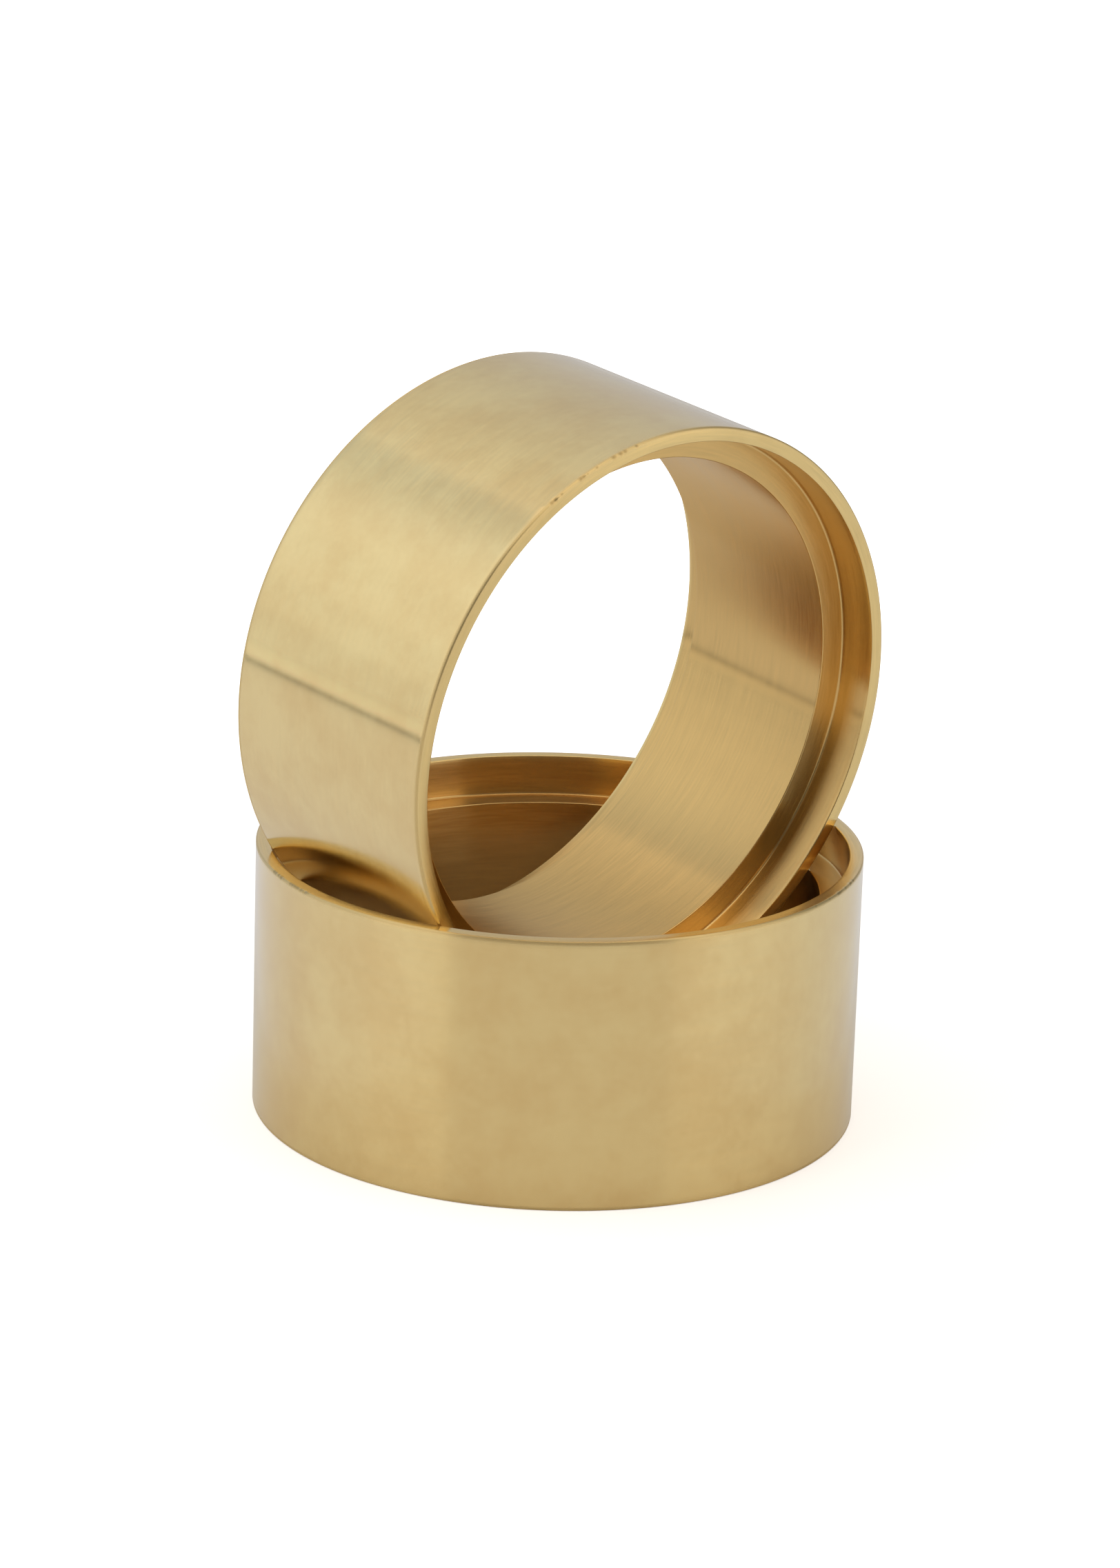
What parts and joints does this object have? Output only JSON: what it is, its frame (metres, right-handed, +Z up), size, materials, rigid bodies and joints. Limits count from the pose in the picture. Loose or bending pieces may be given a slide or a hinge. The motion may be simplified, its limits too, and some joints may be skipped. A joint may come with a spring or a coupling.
{
  "type": "counterbored brass ring pair",
  "caption": "Two identical short turned brass rings with a seat counterbored in each mouth, one standing flat and one resting on edge in its mouth.",
  "frame": {"origin": "middle of the standing ring's lower rim plane, on the surface that the ring stands on", "axes": "+Z up along the standing ring's axis; the leaning ring's front mouth faces between +X and -Y"},
  "size_m": [0.0448, 0.043, 0.0532],
  "materials": {
    "turned_brass": "satin turned brass, unlacquered, lightly tarnished"
  },
  "bodies": {
    "standing_ring": {"standing_ring": "turned_brass"},
    "leaning_ring": {"leaning_ring": "turned_brass"}
  },
  "joints": [
    {"name": "lift_off", "type": "slide", "parent": "standing_ring", "child": "leaning_ring", "axis": [0, 0, 1], "range_m": [0, 0.025]}
  ]
}
